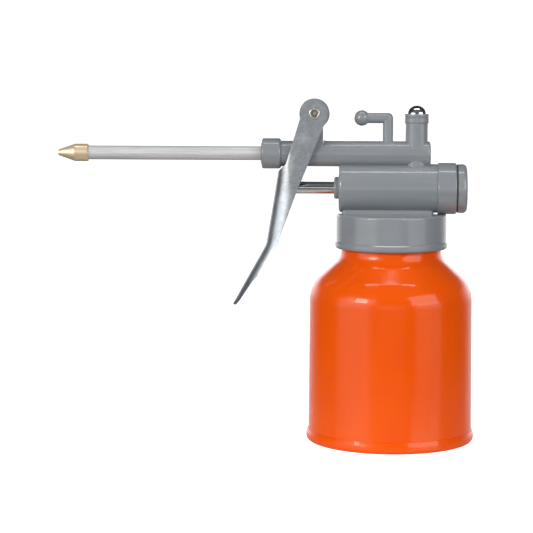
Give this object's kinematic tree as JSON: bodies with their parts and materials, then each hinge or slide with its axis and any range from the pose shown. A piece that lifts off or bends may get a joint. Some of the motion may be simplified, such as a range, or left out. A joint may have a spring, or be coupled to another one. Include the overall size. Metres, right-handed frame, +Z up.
{
  "type": "oil can",
  "caption": "Hand oil can: orange painted tin with a screw-on moulded pump head, lever and piston pump, valve tower, hang hook and a straight spout with a turned nozzle.",
  "frame": {"origin": "centre of the base, on the surface that the can stands on", "axes": "+Z up, -X along the spout towards the nozzle, +X towards the end cap of the barrel, Y across"},
  "size_m": [0.1804, 0.0724, 0.148],
  "materials": {
    "orange_paint": "glossy orange paint on sheet steel",
    "head_grey": "satin moulded grey plastic",
    "zinc_steel": "zinc-plated stamped steel",
    "rivet_steel": "plated rivet steel",
    "chrome_steel": "bright chromed steel",
    "valve_steel": "polished ball steel",
    "spring_steel": "drawn spring wire",
    "aluminium_tube": "dull drawn aluminium",
    "brass_turned": "turned brass",
    "black_rubber": "nitrile rubber",
    "olive_rubber": "dark olive rubber",
    "fibre_ring": "brown fibre ring",
    "hose_pvc": "milky hose",
    "white_plastic": "natural moulded plastic"
  },
  "bodies": {
    "can": {"can_shell": "orange_paint", "can_bottom": "orange_paint"},
    "gasket": {"neck_gasket": "black_rubber"},
    "head": {"pump_head": "head_grey", "cylinder_end_cap": "head_grey", "end_cap_seal": "olive_rubber", "inlet_seat": "white_plastic", "suction_tube": "hose_pvc", "suction_strainer": "white_plastic", "tower_plug": "chrome_steel", "spout_tube": "aluminium_tube", "spout_seal": "fibre_ring", "nozzle": "brass_turned", "return_spring": "spring_steel", "outlet_spring": "spring_steel"},
    "lever": {"lever": "zinc_steel", "lever_rivet": "rivet_steel"},
    "plunger": {"plunger_rod": "chrome_steel", "piston": "white_plastic", "piston_seal": "black_rubber", "piston_nut": "zinc_steel"},
    "inlet_valve": {"inlet_ball": "valve_steel"},
    "outlet_valve": {"outlet_ball": "valve_steel"}
  },
  "joints": [
    {"name": "head_rise", "type": "slide", "parent": "can", "child": "gasket", "axis": [0, 0, 1], "range_m": [0, 0.0061]},
    {"name": "head_turn", "type": "hinge", "parent": "gasket", "child": "head", "pos_m": [0, 0, 0.09565], "axis": [0, 0, 1], "range_deg": [0, 720]},
    {"name": "lever_pivot", "type": "hinge", "parent": "head", "child": "lever", "pos_m": [-0.0332, 0, 0.14155], "axis": [0, -1, 0], "range_deg": [0, 17]},
    {"name": "plunger_slide", "type": "slide", "parent": "head", "child": "plunger", "axis": [1, 0, 0], "range_m": [0, 0.00966], "stiffness_N_per_m": 100, "springref_m": -0.008, "deforming": ["return_spring"]},
    {"name": "inlet_valve_lift", "type": "slide", "parent": "head", "child": "inlet_valve", "axis": [0, 0, 1], "range_m": [0, 0.0015]},
    {"name": "outlet_valve_lift", "type": "slide", "parent": "head", "child": "outlet_valve", "axis": [0, 0, 1], "range_m": [0, 0.001], "stiffness_N_per_m": 60, "springref_m": -0.002, "deforming": ["outlet_spring"]}
  ],
  "couplings": [
    {"joint": "plunger_slide", "follows": "lever_pivot", "m_per_rad": 0.0325},
    {"joint": "head_rise", "follows": "head_turn", "m_per_rad": 0.00047746}
  ]
}
